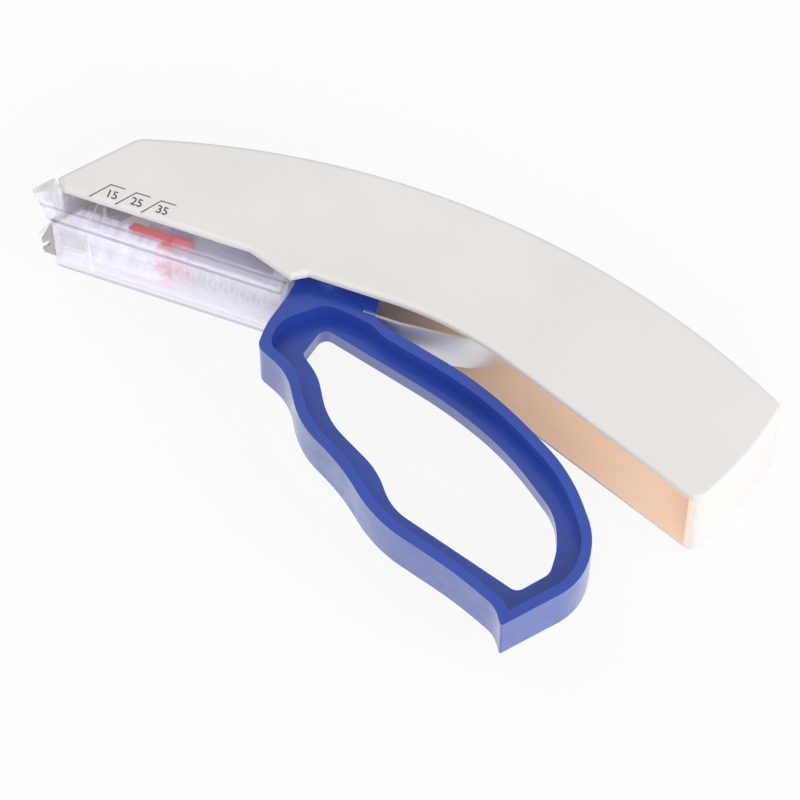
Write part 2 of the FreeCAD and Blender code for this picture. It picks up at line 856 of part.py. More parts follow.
def ejector_spring():
    """Steel strip on the anvil whose raised end pushes the closed staple off."""
    seat = "clear_low_y + clear_rim + clear_floor + joint_gap + anvil_thick * 0.9 + ejector_gap"
    low, high = about_middle("ejector_width")
    tip = in_track("ejector_reach", "-(driver_thick / 2 + 2 * track_play)")
    knee = f"{tip[0]} + ejector_rise_run"
    corners = [
        tip,
        (knee, seat),
        ("anvil_end_x", seat),
        ("anvil_end_x", f"{seat} + ejector_thick"),
        (f"{knee} + ejector_thick * 0.3", f"{seat} + ejector_thick"),
        (f"{tip[0]} + ejector_thick * 0.6", f"{tip[1]} + ejector_thick * 0.8"),
    ]
    return prism("ejector_strip", corners, low, high)


def staple(name):
    """One U-shaped staple, flat in the plane of the track, with bevelled shoulders."""
    body = new_body(name)
    low, high = about_middle("crown_width")
    inner_low = f"{low} + wire_wide"
    inner_high = f"{high} - wire_wide"
    foot = "foot_reach"
    outline = new_sketch(body, name + "_outline", "XZ_Plane")
    draw(
        outline,
        [
            (foot, low),
            ("crown_reach - shoulder", low),
            ("crown_reach", f"{low} + shoulder"),
            ("crown_reach", f"{high} - shoulder"),
            ("crown_reach - shoulder", high),
            (foot, high),
            (foot, inner_high),
            ("crown_reach - wire_wide", inner_high),
            ("crown_reach - wire_wide", inner_low),
            (foot, inner_low),
        ],
    )
    pad(body, outline, "wire_thick", name + "_wire", middle=True)
    return body


def leading_staple():
    """The staple that waits in the track under the driver."""
    body = staple("first_staple")
    place(body, "exit_x", "exit_y", "0", "track_angle")
    return body


def staple_stack():
    """All the staples behind the first, leaning against one another along the magazine."""
    body = staple("stacked_staple")
    place(body, "exit_x", "exit_y", "0", "track_angle")
    doc.recompute()
    pitch = number("staple_pitch")
    waiting = int(number("staple_count")) - 1
    row = []
    for index in range(1, waiting + 1):
        one = body.Shape.copy()
        one.translate(Vector(pitch * index, 0, 0))
        row.append(one)
    stack = doc.addObject("Part::Feature", "stack")
    stack.Shape = Part.makeCompound(row)
    return stack


LEAN = "tan(90 - track_angle)"


def leaning_cut(name, ahead):
    """Everything in front of a plane that leans like the staples, over the whole thickness."""
    top = in_track("30", ahead)
    low = in_track("-10", ahead)
    corners = [low, top, (f"({top[0]}) - 60", top[1]), (f"({low[0]}) - 60", low[1])]
    return prism(name, corners, "0", "body_thick")


def cartridge_housing():
    """Clear trough that carries the magazine, open on top, with a rim below its floor."""
    low, high = about_middle("clear_thick")
    in_low, in_high = about_middle("clear_thick - 2 * clear_wall")
    body = new_body("trough")
    outline = new_sketch(body, "trough_outline", lift=low)
    draw(
        outline,
        [
            ("clear_split_x", "clear_low_y"),
            ("clear_rear_x", "clear_low_y", "1.0"),
            ("clear_rear_x", "clear_top_y", "2.0"),
            ("clear_split_x", "clear_top_y"),
        ],
    )
    pad(body, outline, "clear_thick", "trough_block")
    floor = "clear_low_y + clear_rim + clear_floor"
    cavity = new_sketch(body, "trough_cavity_outline", lift=in_low)
    draw(
        cavity,
        [
            ("clear_split_x - 1", floor),
            ("clear_rear_x - clear_wall", floor),
            ("clear_rear_x - clear_wall", "rear_wall_y"),
            ("clear_rear_x + 1", "rear_wall_y"),
            ("clear_rear_x + 1", "clear_top_y + 1"),
            ("clear_split_x - 1", "clear_top_y + 1"),
        ],
    )
    pocket(body, cavity, "clear_thick - 2 * clear_wall", "trough_cavity", back=True)
    under = new_sketch(body, "trough_under_outline", lift=in_low)
    draw(
        under,
        [
            ("clear_split_x - 1", "clear_low_y - 1"),
            ("clear_rear_x - clear_wall", "clear_low_y - 1"),
            ("clear_rear_x - clear_wall", "clear_low_y + clear_rim"),
            ("clear_split_x - 1", "clear_low_y + clear_rim"),
        ],
    )
    pocket(body, under, "clear_thick - 2 * clear_wall", "trough_under", back=True)
    for side, face, back in (("right", low, True), ("left", high, False)):
        band = new_sketch(body, f"trough_{side}_band", lift=face)
        draw(
            band,
            [
                ("clear_split_x - 1", "clear_low_y - 1"),
                ("clear_rear_x + 1", "clear_low_y - 1"),
                ("clear_rear_x + 1", "ledge_y"),
                ("clear_split_x - 1", "ledge_y"),
            ],
        )
        pocket(body, band, "ledge_depth", f"trough_{side}_ledge", back=back)
    return body


def nose_shield():
    """Clear beak round the nose plate, hollow, open at the staple's exit and notched in front."""
    low, high = about_middle("clear_thick")
    in_low, in_high = about_middle("clear_thick - 2 * clear_wall")
    exit_low, exit_high = about_middle("exit_width")
    rear = "clear_split_x - joint_gap"
    inside_x = f"{INNER_SLOPE_X} + 0.5"
    block = prism(
        "beak_block",
        [
            ("beak_x", "beak_y", "0.8"),
            ("heel_x", "clear_low_y", "1.0"),
            (rear, "clear_low_y"),
            (rear, "clear_top_y"),
            (f"{inside_x} + (clear_top_y - slope_y) / tan(slope_angle)", "clear_top_y"),
            (f"{inside_x} - 1 / tan(slope_angle)", "slope_y - 1"),
            ("slope_x + 1.3", "slope_y - 1.5"),
            ("slope_x - 0.5", "slope_y"),
            ("beak_top_x", "beak_top_y", "0.5"),
        ],
        low,
        high,
    )
    floor = "clear_low_y + clear_rim + clear_floor"
    cavity = prism(
        "beak_cavity",
        [
            ("beak_x + 2.1", "beak_y + 0.1"),
            ("heel_x + 0.5", floor),
            (f"{rear} + 1", floor),
            (f"{rear} + 1", "clear_top_y + 3"),
            (f"{inside_x} + (clear_top_y + 3 - slope_y) / tan(slope_angle) + 1.6", "clear_top_y + 3"),
            (f"{inside_x} + 1.4 - 2 / tan(slope_angle)", "slope_y - 2"),
            ("slope_x + 1.0", "slope_y - 2.1"),
            ("slope_x - 1.2", "slope_y - 1.9"),
        ],
        in_low,
        in_high,
    )
    behind = "-(driver_thick / 2 + 2 * track_play)"
    foot = in_track("-4", behind)
    crest = in_track("plate_wide_top + 0.6", behind)
    mouth = prism(
        "beak_mouth",
        [foot, crest, ("beak_x - 2", crest[1]), ("beak_x - 2", foot[1])],
        exit_low,
        exit_high,
    )
    bite = doc.addObject("Part::Cylinder", "beak_bite")
    place(bite, "beak_x + nose_notch_depth - nose_notch_radius", "clear_low_y - 2", MIDDLE)
    bite.Placement = FreeCAD.Placement(
        Vector(0, 0, 0), FreeCAD.Rotation(Vector(1, 0, 0), -90)
    )
    place(bite, "beak_x + nose_notch_depth - nose_notch_radius", "clear_low_y - 2", MIDDLE)
    bind(bite, "Radius", "nose_notch_radius")
    bind(bite, "Height", "beak_top_y - clear_low_y + 6")
    under = ("beak_x - 1", "clear_low_y - 1")
    over = ("clear_split_x", "ledge_y")
    bands = [
        box("beak_right_band", (*under, f"{low} - 1"), (*over, f"{low} + ledge_depth")),
        box("beak_left_band", (*under, f"{high} - ledge_depth"), (*over, f"{high} + 1")),
    ]
    return cut("beak", block, fuse("beak_openings", [cavity, mouth, bite] + bands))


CORE_TOP = "(exit_y + (crown_reach - wire_wide) * sin(track_angle) - 0.2 - core_gap)"
COIL_Y = f"({CORE_TOP} - 1 - coil_radius - coil_wire / 2)"
FLOOR = "(clear_low_y + clear_rim + clear_floor)"
MAGAZINE_END = "(stop_block_x - joint_gap)"


def staple_magazine():
    """Clear core that the staples straddle, with a guide wall outside each row of legs."""
    core_low, core_high = about_middle("core_width")
    leg_gap = "crown_width + 2 * guide_gap"
    wide_low, wide_high = about_middle(f"{leg_gap} + 2 * guide_wall")
    gap_low, gap_high = about_middle(leg_gap)
    front = "exit_x - 1"
    seat = f"{FLOOR} + 0.05"
    flange = box(
        "magazine_flange",
        (front, seat, wide_low),
        (MAGAZINE_END, f"{FLOOR} + flange_thick", wide_high),
    )
    core = box("magazine_core", (front, seat, core_low), (MAGAZINE_END, CORE_TOP, core_high))
    left = box("magazine_left", (front, seat, gap_high), (MAGAZINE_END, "guide_top_y", wide_high))
    right = box("magazine_right", (front, seat, wide_low), (MAGAZINE_END, "guide_top_y", gap_low))
    channel_low, channel_high = about_middle("core_width - 2 * core_wall")
    channel = box(
        "magazine_channel",
        (f"{front} - 1", f"{seat} - 1", channel_low),
        (f"{MAGAZINE_END} + 1", f"{CORE_TOP} - 0.9", channel_high),
    )
    slot_low, slot_high = about_middle("slot_width")
    slot = box(
        "magazine_slot",
        (f"{front} - 1", f"{CORE_TOP} - 2", slot_low),
        ("follower_rear_x + 2", f"{CORE_TOP} + 1", slot_high),
    )
    joined = fuse("magazine_joined", [flange, core, left, right])
    nose = leaning_cut("magazine_nose", "-(driver_thick / 2 + track_play)")
    return cut("magazine", joined, fuse("magazine_cuts", [channel, slot, nose]))


def magazine_cover():
    """Clear lid over the follower, which the housing's side walls hold."""
    low, high = about_middle("clear_thick - 2 * clear_wall - joint_gap")
    return box(
        "lid",
        ("cover_front_x", f"{BAR_TOP} + cover_gap", low),
        ("clear_rear_x - clear_wall - joint_gap", COVER_TOP, high),
    )


def staple_follower():
    """Red slider behind the staples, with a flag along each side that shows how many are left."""
    play = "follower_play"
    back = "follower_rear_x"
    last = "-(staple_pitch * (staple_count - 1) * sin(track_angle) + wire_thick / 2 + 0.02)"
    front = in_track("crown_reach", last)[0]
    bar_low, bar_high = about_middle("crown_width + 1.2")
    low_y = f"{CORE_TOP} + {play}"
    bar = box("follower_bar", (f"{front} - 3", low_y, bar_low), (back, BAR_TOP, bar_high))
    fin_low, fin_high = about_middle(f"slot_width - 2 * {play}")
    fin_back = f"{back} - 4"
    fin = box("follower_fin", (f"{front} - 3", f"{COIL_Y} - 0.4", fin_low),
              (fin_back, f"{low_y} + 0.4", fin_high))
    leg_in = f"core_width / 2 + {play}"
    leg_out = f"crown_width / 2 + guide_gap - {play}"
    legs = []
    for name, sign in (("left", 1), ("right", -1)):
        a, b = f"{MIDDLE} + {leg_in}", f"{MIDDLE} + {leg_out}"
        if sign < 0:
            a, b = f"{MIDDLE} - ({leg_out})", f"{MIDDLE} - ({leg_in})"
        legs.append(box(f"follower_{name}_leg", (f"{front} - 4", "guide_top_y - 1", a),
                        (fin_back, f"{low_y} + 0.4", b)))
    slanted = cut(
        "follower_pusher",
        fuse("follower_block", [bar, fin] + legs),
        leaning_cut("follower_lean", last),
    )
    flag_in = "crown_width / 2 + 0.25"
    flag_out = f"{flag_in} + flag_thick"
    flags = []
    for name, sign in (("left", 1), ("right", -1)):
        a, b = f"{MIDDLE} + {flag_in}", f"{MIDDLE} + {flag_out}"
        if sign < 0:
            a, b = f"{MIDDLE} - ({flag_out})", f"{MIDDLE} - ({flag_in})"
        corners = [
            ("flag_front_x", "flag_low_y", "0.3"),
            ("flag_front_x + flag_length", "flag_low_y", "0.5"),
            ("flag_front_x + flag_length + 0.8", "flag_low_y + 1.2"),
            (back, "flag_low_y + 1.2"),
            (back, "flag_top_y"),
            ("flag_front_x + 0.9", "flag_top_y", "0.3"),
        ]
        flags.append(prism(f"follower_{name}_flag", corners, a, b))
    return fuse("slider", [slanted] + flags)


def follower_spring():
    """Steel coil in the core's channel, between the follower's fin and the stop block."""
    start = number("follower_rear_x - 4 + 0.05")
    end = number("stop_block_x - 0.05")
    wire = number("coil_wire") / 2
    radius = number("coil_radius")
    length = end - start - 2 * wire
    steps = 16 * int(number("coil_turns"))
    winding = []
    for step in range(steps + 1):
        angle = 2 * math.pi * step / 16
        rise = length * step / steps
        winding.append(Vector(radius * math.cos(angle), radius * math.sin(angle), rise))
    near = radius - wire
    far = radius + wire
    section = [(near, -wire), (far, -wire), (far, wire), (near, wire), (near, -wire)]
    ring = Part.makePolygon([Vector(x, 0, z) for x, z in section])
    coil = Part.makePolygon(winding).makePipeShell([ring], True, False, 1)
    spring = doc.addObject("Part::Feature", "coil")
    spring.Shape = coil
    spring.Placement = FreeCAD.Placement(
        Vector(start + wire, number(COIL_Y), number(MIDDLE)),
        FreeCAD.Rotation(Vector(0, 1, 0), 90),
    )
    return spring


def spring_stop():
    """Block at the rear of the magazine that the coil bears on, with a spigot inside the coil."""
    low, high = about_middle("clear_thick - 2 * clear_wall - joint_gap")
    block = box(
        "stop_body",
        ("stop_block_x", f"{FLOOR} + 0.05", low),
        ("clear_rear_x - clear_wall - joint_gap", BAR_TOP, high),
    )
    spigot = doc.addObject("Part::Cylinder", "stop_spigot")
    spigot.Placement = FreeCAD.Placement(
        Vector(0, 0, 0), FreeCAD.Rotation(Vector(0, 1, 0), 90)
    )
    place(spigot, "stop_block_x - 2.4", COIL_Y, MIDDLE)
    bind(spigot, "Radius", "coil_radius - coil_wire / 2 - 0.15")
    bind(spigot, "Height", "3")
    return fuse("stop_block", [block, spigot])


def return_spring():
    """Steel leaf from the lever's slot, along the mouth of the body and up to the ceiling."""
    thick = number("leaf_thick")
    width = number("leaf_width")
    root = Vector(number("leaf_root_x"), number("leaf_root_y"), 0)
    flat = Vector(number("leaf_root_x + 8"), number("leaf_root_y"), 0)
    bend = Vector(number("leaf_bend_x"), number("leaf_bend_y"), 0)
    end_y = number(f"{ceiling_y('leaf_end_x')} - leaf_end_gap") - thick
    end = Vector(number("leaf_end_x"), end_y, 0)
    radius = number("leaf_bend_radius")
    first = (flat - bend).normalize()
    second = (end - bend).normalize()
    reach = radius / math.tan(first.getAngle(second) / 2)
    before = bend + first * reach
    after = bend + second * reach
    outward = (first + second).normalize()
    centre = bend + outward * (radius / math.sin(first.getAngle(second) / 2))
    middle = centre - outward * radius
    edges = [
        Part.LineSegment(root, flat).toShape(),
        Part.LineSegment(flat, before).toShape(),
        Part.Arc(before, middle, after).toShape(),
        Part.LineSegment(after, end).toShape(),
    ]
    path = Part.Wire(edges)
    strip = path.makeOffset2D(-thick, join=2, fill=True, openResult=True)
    leaf = doc.addObject("Part::Feature", "leaf")
    leaf.Shape = strip.extrude(Vector(0, 0, width))
    if leaf.Shape.Volume < 0:
        leaf.Shape = leaf.Shape.reversed()
    leaf.Placement = FreeCAD.Placement(
        Vector(0, 0, number(MIDDLE) - width / 2), FreeCAD.Rotation()
    )
    return leaf


NODES = {
    "right_shell": make_shell("right", True),
    "left_shell": make_shell("left", False),
    "trigger_lever": trigger_lever(),
    "pivot_pin": pivot_pin(),
    "lever_pin": lever_pin(),
    "return_spring": return_spring(),
    "driver_blade": driver_blade(),
    "leading_staple": leading_staple(),
    "staple_stack": staple_stack(),
    "nose_guide_plate": nose_plate(),
    "anvil": anvil(),
    "ejector_spring": ejector_spring(),
    "nose_shield": nose_shield(),
    "cartridge_housing": cartridge_housing(),
    "staple_magazine": staple_magazine(),
    "magazine_cover": magazine_cover(),
    "staple_follower": staple_follower(),
    "follower_spring": follower_spring(),
    "spring_stop": spring_stop(),
}

for label, thing in NODES.items():
    thing.Label = label
doc.recompute()

for thing in doc.Objects:
    if "Invalid" in thing.State or "Error" in thing.State:
        raise RuntimeError(f"{thing.Name} failed: {thing.State}")
for label, thing in NODES.items():
    if thing.Shape.isNull() or not thing.Shape.isValid():
        raise RuntimeError(f"{label} has no valid shape")
for label, thing in NODES.items():
    thing.Shape.exportStep(os.path.join("parts", label + ".step"))
    bounds = thing.Shape.BoundBox
    print(f"{label}: {len(thing.Shape.Solids)} solid, {thing.Shape.Volume:.1f} mm3, "
          f"x {bounds.XMin:.1f} {bounds.XMax:.1f} y {bounds.YMin:.1f} {bounds.YMax:.1f} "
          f"z {bounds.ZMin:.1f} {bounds.ZMax:.1f}")
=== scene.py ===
"""Dressed view of a disposable skin stapler that lies on its side.

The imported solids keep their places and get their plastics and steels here. The waiting staples,
the leaf that returns the trigger, the coil behind the staples and the printed scale are made as
pieces of their own. Everything is in metres, with X from the nose to the tail, Y towards the
arched back and Z up.
"""
import math
import bmesh
import bpy
from mathutils import Matrix, Vector


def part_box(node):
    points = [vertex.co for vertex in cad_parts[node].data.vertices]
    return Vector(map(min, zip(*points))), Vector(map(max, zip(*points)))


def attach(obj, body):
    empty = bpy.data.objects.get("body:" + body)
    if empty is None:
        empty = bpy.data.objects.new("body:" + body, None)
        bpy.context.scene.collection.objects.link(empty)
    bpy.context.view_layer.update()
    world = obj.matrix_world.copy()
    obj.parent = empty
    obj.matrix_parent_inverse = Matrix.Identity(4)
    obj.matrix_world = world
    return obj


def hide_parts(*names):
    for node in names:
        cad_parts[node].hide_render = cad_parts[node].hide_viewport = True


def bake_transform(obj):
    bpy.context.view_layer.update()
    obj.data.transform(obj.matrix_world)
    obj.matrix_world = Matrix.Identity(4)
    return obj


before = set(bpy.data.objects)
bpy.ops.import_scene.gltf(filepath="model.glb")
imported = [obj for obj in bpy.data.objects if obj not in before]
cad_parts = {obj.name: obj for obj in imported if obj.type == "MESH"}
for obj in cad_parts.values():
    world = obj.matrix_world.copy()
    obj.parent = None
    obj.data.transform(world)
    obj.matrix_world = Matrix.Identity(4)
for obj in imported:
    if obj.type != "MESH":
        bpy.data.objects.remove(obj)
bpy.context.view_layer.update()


# Body shells
# Two halves in warm white plastic with a very fine matte grain, closed on the middle plane. The
# hollow inside gets painted light for the light that passes through the plastic: a peach base
# colour and a faint peach emission that rise towards the tail, and a faint lavender emission in
# the nose.
MM = 0.001
MIDDLE = 12.5 * MM
WALL_INNER = 10.75 * MM
GLOW_FROM, GLOW_FULL = -4.0 * MM, 18.0 * MM
NOSE_FROM, NOSE_FULL = -34.0 * MM, -40.0 * MM
TAIL_LEAN = 0.358
TAIL_INSIDE = 71.2 * MM
SLOPE_FOOT = (-73.2 * MM, 18.6 * MM)
SLOPE_RISE = math.tan(math.radians(49.5))
BACK_CENTRE = (-7.0 * MM, -141.8 * MM)
BACK_INSIDE = 181.4 * MM
IVORY = (0.765, 0.742, 0.715), (0.79, 0.767, 0.742)
# Painted light: peach colour and peach glow of the inside faces, and lavender glow of the nose.
PAINTED_PEACH = (0.88, 0.69, 0.53), (0.90, 0.71, 0.55)
PEACH_LIGHT, PEACH_GLOW = (0.90, 0.74, 0.58), 0.19
NOSE_LIGHT, NOSE_GLOW = (0.62, 0.60, 0.68), 0.2
MOTTLE_SCALE = 45.0
MOULD_GRAIN, MOULD_STRENGTH, MOULD_DEPTH = 2600.0, 0.12, 0.04 * MM


def finish(name):
    """Node material with one surface shader, and the coordinates of the piece itself."""
    material = bpy.data.materials.new(name)
    material.use_nodes = True
    tree = material.node_tree
    tree.nodes.clear()
    output = tree.nodes.new("ShaderNodeOutputMaterial")
    surface = tree.nodes.new("ShaderNodeBsdfPrincipled")
    coords = tree.nodes.new("ShaderNodeTexCoord")
    tree.links.new(surface.outputs["BSDF"], output.inputs["Surface"])
    return material, tree, surface, coords.outputs["Object"]


def grain(tree, where, scale, detail=4.0, stretch=(1, 1, 1)):
    """Noise through the piece, drawn out along its axes."""
    mapping = tree.nodes.new("ShaderNodeMapping")
    mapping.inputs["Scale"].default_value = stretch
    noise = tree.nodes.new("ShaderNodeTexNoise")
    noise.inputs["Scale"].default_value = scale
    noise.inputs["Detail"].default_value = detail
    tree.links.new(where, mapping.inputs["Vector"])
    tree.links.new(mapping.outputs["Vector"], noise.inputs["Vector"])
    return noise.outputs["Fac"]


def tone(tree, amount, low, high, start=0.35, end=0.65):
    """Colour, or grey where numbers are given, that goes from low to high with an amount."""
    ramp = tree.nodes.new("ShaderNodeValToRGB")
    for element, place, value in zip(ramp.color_ramp.elements, (start, end), (low, high)):
        element.position = place
        element.color = (*value, 1) if isinstance(value, tuple) else (value, value, value, 1)
    tree.links.new(amount, ramp.inputs["Fac"])
    return ramp.outputs["Color"]


def relief(tree, surface, height, strength, depth):
    """Fine unevenness of the surface, no deeper than depth."""
    node = tree.nodes.new("ShaderNodeBump")
    node.inputs["Strength"].default_value = strength
    node.inputs["Distance"].default_value = depth
    tree.links.new(height, node.inputs["Height"])
    tree.links.new(node.outputs["Normal"], surface.inputs["Normal"])


def calc(tree, kind, *values):
    """One step of arithmetic on numbers or on outputs of other nodes."""
    node = tree.nodes.new("ShaderNodeMath")
    node.operation = kind
    for index, value in enumerate(values):
        if isinstance(value, (int, float)):
            node.inputs[index].default_value = value
        else:
            tree.links.new(value, node.inputs[index])
    return node.outputs["Value"]


def fade(tree, value, start, end):
    """Rises from 0 at start to 1 at end."""
    node = tree.nodes.new("ShaderNodeMapRange")
    node.inputs["From Min"].default_value = start
    node.inputs["From Max"].default_value = end
    tree.links.new(value, node.inputs["Value"])
    return node.outputs["Result"]


def blend_colours(tree, amount, first, second):
    """First colour where the amount is 0, second where it is 1."""
    mix = tree.nodes.new("ShaderNodeMix")
    mix.data_type = "RGBA"
    tree.links.new(amount, mix.inputs["Factor"])
    for name, colour in (("A", first), ("B", second)):
        if isinstance(colour, tuple):
            mix.inputs[name].default_value = (*colour, 1)
        else:
            tree.links.new(colour, mix.inputs[name])
    return mix.outputs["Result"]


def paint(material, *names):
    """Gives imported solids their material."""
    for name in names:
        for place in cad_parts[name].material_slots:
            place.material = material


ivory, tree, surface, where = finish("ivory_plastic")
split = tree.nodes.new("ShaderNodeSeparateXYZ")
tree.links.new(where, split.inputs["Vector"])
x, y, z = (split.outputs[axis] for axis in "XYZ")
across = calc(tree, "ABSOLUTE", calc(tree, "SUBTRACT", z, MIDDLE))
along = calc(tree, "SUBTRACT", x, calc(tree, "MULTIPLY", y, TAIL_LEAN))
above_foot = calc(tree, "SUBTRACT", y, SLOPE_FOOT[1])
slope = calc(tree, "ADD", SLOPE_FOOT[0], calc(tree, "DIVIDE", above_foot, SLOPE_RISE))
from_centre = [calc(tree, "POWER", calc(tree, "SUBTRACT", value, centre), 2.0)
               for value, centre in zip((x, y), BACK_CENTRE)]
radius = calc(tree, "SQRT", calc(tree, "ADD", *from_centre))
inside = calc(tree, "LESS_THAN", across, WALL_INNER)
for test in (calc(tree, "LESS_THAN", along, TAIL_INSIDE), calc(tree, "GREATER_THAN", x, slope),
             calc(tree, "LESS_THAN", radius, BACK_INSIDE)):
    inside = calc(tree, "MULTIPLY", inside, test)
# Painted light: peach base colour and peach emission on the inside faces rise towards the tail,
# and a lavender emission lights them in the nose.
rear = fade(tree, x, GLOW_FROM, GLOW_FULL)
nose = fade(tree, x, NOSE_FROM, NOSE_FULL)
mottle = grain(tree, where, MOTTLE_SCALE)
tree.links.new(
    blend_colours(tree, calc(tree, "MULTIPLY", inside, rear),
                  tone(tree, mottle, *IVORY), tone(tree, mottle, *PAINTED_PEACH)),
    surface.inputs["Base Color"])
tree.links.new(blend_colours(tree, rear, NOSE_LIGHT, PEACH_LIGHT),
               surface.inputs["Emission Color"])
glow = calc(tree, "ADD", calc(tree, "MULTIPLY", rear, PEACH_GLOW),
            calc(tree, "MULTIPLY", nose, NOSE_GLOW))
tree.links.new(calc(tree, "MULTIPLY", inside, glow), surface.inputs["Emission Strength"])
surface.inputs["Roughness"].default_value = 0.42
surface.inputs["Specular IOR Level"].default_value = 0.35
relief(tree, surface, grain(tree, where, MOULD_GRAIN, 2.0), MOULD_STRENGTH, MOULD_DEPTH)
paint(ivory, "right_shell", "left_shell")


# Trigger
# One moulding in glossy blue plastic, with faint flow marks and soft scuffs. It turns on a pin in
# the body.
BLUE = (0.011, 0.043, 0.33), (0.015, 0.054, 0.39)
FLOW_STRETCH = (1, 2.5, 1)
BLUE_ROUGH = 0.26, 0.36
SCUFF_SCALE = 240.0
SCUFF_BAND = 0.4, 0.7

blue, tree, surface, where = finish("blue_plastic")
tree.links.new(tone(tree, grain(tree, where, 30.0, 3.0, FLOW_STRETCH), *BLUE),
               surface.inputs["Base Color"])
tree.links.new(tone(tree, grain(tree, where, SCUFF_SCALE, 6.0), *BLUE_ROUGH, *SCUFF_BAND),
               surface.inputs["Roughness"])
surface.inputs["Specular IOR Level"].default_value = 1.0
surface.inputs["Specular Tint"].default_value = (0.72, 0.80, 1.0, 1)
surface.inputs["Coat Weight"].default_value = 0.45
surface.inputs["Coat Roughness"].default_value = 0.08
relief(tree, surface, grain(tree, where, 900.0, 3.0), strength=0.02, depth=0.05 * MM)
paint(blue, "trigger_lever")


# Clear cartridge
# Polycarbonate with a faint violet cast: trough, beak, core and covers. Its walls are thin and
# polished. A faint painted glow low down stands in for the light that they carry, and the rims
# of the outer housing show as painted dark lines and painted highlights.
RIM_LOW, RIM_HIGH = 10.0 * MM, 14.0 * MM
RIM_ACROSS = 9.4 * MM
BAND_TOP, BAND_FULL = 16.0 * MM, 12.5 * MM
PAINTED_LOW_GLOW = 0.18
CLEAR = (0.93, 0.92, 0.98), (0.97, 0.96, 0.995)
CLEAR_ROUGH = 0.02, 0.06
MILK_SHARE, MILK_BAND = (0.22, 0.9), (0.1, 0.95)
# Painted dark lines and painted highlights in bands along the lower rim of the outer housing.
PAINTED_RIM_LINES = (  # place between the rim's limits, colour, share of milky surface
    (0.00, (0.40, 0.37, 0.50), 0.80),
    (0.13, (0.99, 0.98, 1.00), 0.60),
    (0.66, (0.55, 0.52, 0.66), 0.65),
    (0.76, (0.95, 0.94, 0.99), 0.00),
)


def clear_plastic(name):
    """See-through wall: light passes straight on, or meets a polished, slightly milky surface."""
    material, tree, surface, where = finish(name)
    colour = tone(tree, grain(tree, where, 120.0), *CLEAR)
    tree.links.new(colour, surface.inputs["Base Color"])
    tree.links.new(tone(tree, grain(tree, where, 500.0), *CLEAR_ROUGH, *SCUFF_BAND),
                   surface.inputs["Roughness"])
    surface.inputs["Transmission Weight"].default_value = 0.75
    surface.inputs["IOR"].default_value = 1.3
    surface.inputs["Emission Color"].default_value = (0.93, 0.91, 1.0, 1)
    place = tree.nodes.new("ShaderNodeSeparateXYZ")
    tree.links.new(where, place.inputs["Vector"])
    # Painted glow: emission that rises towards the bottom stands in for light carried along the
    # clear walls.
    painted_low_glow = calc(tree, "MULTIPLY", fade(tree, place.outputs["Y"], BAND_TOP, BAND_FULL),
                   PAINTED_LOW_GLOW)
    tree.links.new(painted_low_glow, surface.inputs["Emission Strength"])
    relief(tree, surface, grain(tree, where, 260.0, 2.0), strength=0.05, depth=0.1 * MM)
    passing = tree.nodes.new("ShaderNodeBsdfTransparent")
    passing.inputs["Color"].default_value = (0.975, 0.97, 0.99, 1)
    edge_on = tree.nodes.new("ShaderNodeLayerWeight")
    edge_on.inputs["Blend"].default_value = 0.35
    share = tone(tree, edge_on.outputs["Facing"], *MILK_SHARE, *MILK_BAND)
    walls = tree.nodes.new("ShaderNodeMixShader")
    tree.links.new(share, walls.inputs["Fac"])
    tree.links.new(passing.outputs["BSDF"], walls.inputs[1])
    tree.links.new(surface.outputs["BSDF"], walls.inputs[2])
    tree.links.new(walls.outputs["Shader"], tree.nodes["Material Output"].inputs["Surface"])
    return material, tree, surface, place, colour, painted_low_glow, share, walls


inner_clear = clear_plastic("clear_plastic")[0]
paint(inner_clear, "staple_magazine", "magazine_cover", "spring_stop")
outer_clear, tree, surface, place, colour, painted_low_glow, share, walls = clear_plastic("clear_housing")
level = fade(tree, place.outputs["Y"], RIM_LOW, RIM_HIGH)
painted_lines = []
for kind in ("colour", "share"):
    ramp = tree.nodes.new("ShaderNodeValToRGB")
    ramp.color_ramp.interpolation = "CONSTANT"
    while len(ramp.color_ramp.elements) < len(PAINTED_RIM_LINES):
        ramp.color_ramp.elements.new(0.5)
    for element, (start, tint, milk) in zip(ramp.color_ramp.elements, PAINTED_RIM_LINES):
        element.position = start
        element.color = (*tint, 1) if kind == "colour" else (milk, milk, milk, 1)
    tree.links.new(level, ramp.inputs["Fac"])
    painted_lines.append(ramp.outputs["Color"])
# The painted dark lines and painted highlights lie only on the side walls, away from the middle
# plane, and the painted low glow is left off them.
across = calc(tree, "ABSOLUTE", calc(tree, "SUBTRACT", place.outputs["Z"], MIDDLE))
milk = calc(tree, "MULTIPLY", painted_lines[1], calc(tree, "GREATER_THAN", across, RIM_ACROSS))
on_painted_line = calc(tree, "GREATER_THAN", milk, 0.0)
tree.links.new(blend_colours(tree, on_painted_line, colour, painted_lines[0]), surface.inputs["Base Color"])
tree.links.new(calc(tree, "MULTIPLY", painted_low_glow, calc(tree, "SUBTRACT", 1.0, on_painted_line)),
               surface.inputs["Emission Strength"])
tree.links.new(calc(tree, "MAXIMUM", share, milk), walls.inputs["Fac"])
paint(outer_clear, "cartridge_housing", "nose_shield")


# Works in steel
# Nose plate, anvil, driver and pins: bright stainless sheet and bar with a fine grain from
# rolling. The sheet parts are stamped.
STEEL = (0.42, 0.40, 0.37), (0.58, 0.56, 0.53)
STEEL_ROUGH = 0.25, 0.4
ROLLING = (1, 1, 14)
ROLLED_DEPTH = 0.02 * MM

